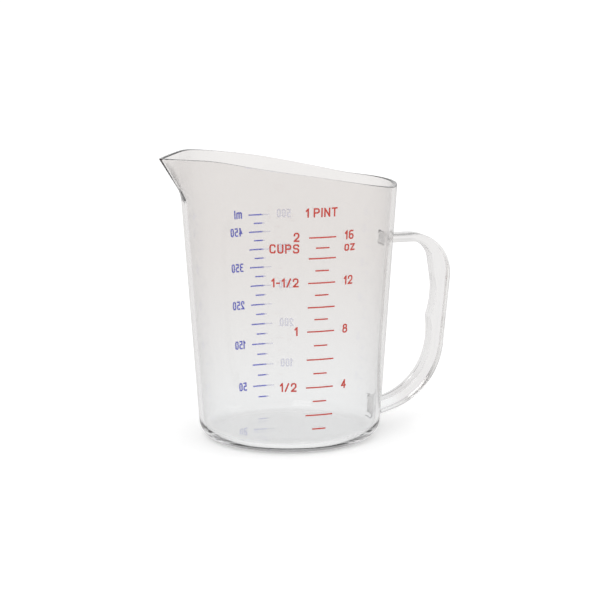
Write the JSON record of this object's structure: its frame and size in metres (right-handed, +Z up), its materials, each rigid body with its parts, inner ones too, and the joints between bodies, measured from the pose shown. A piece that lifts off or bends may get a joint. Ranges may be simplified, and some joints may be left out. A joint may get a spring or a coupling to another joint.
{
  "type": "resin mixing cup",
  "caption": "Clear rigid plastic mixing cup with a sloped rim, a pouring spout, a loop handle with finger rests, and printed ounce and millilitre scales.",
  "frame": {"origin": "where the cup's axis meets the flat underside that it stands on", "axes": "+Z up along the cup's axis, +X towards the handle, -X towards the spout, -Y the side with the ounce scale"},
  "size_m": [0.1355, 0.0976, 0.1284],
  "materials": {
    "clear_plastic": "gloss",
    "red_ink": "satin",
    "blue_ink": "satin"
  },
  "bodies": {
    "root": {"cup_body": "clear_plastic", "handle": "clear_plastic", "ounce_long_lines": "red_ink", "ounce_short_lines": "red_ink", "ounce_figures": "red_ink", "ounce_unit": "red_ink", "cup_figures": "red_ink", "cup_unit": "red_ink", "pint_mark": "red_ink", "millilitre_long_lines": "blue_ink", "millilitre_short_lines": "blue_ink", "millilitre_hundred_figures": "blue_ink", "millilitre_fifty_figures": "blue_ink", "millilitre_unit": "blue_ink"}
  },
  "joints": []
}
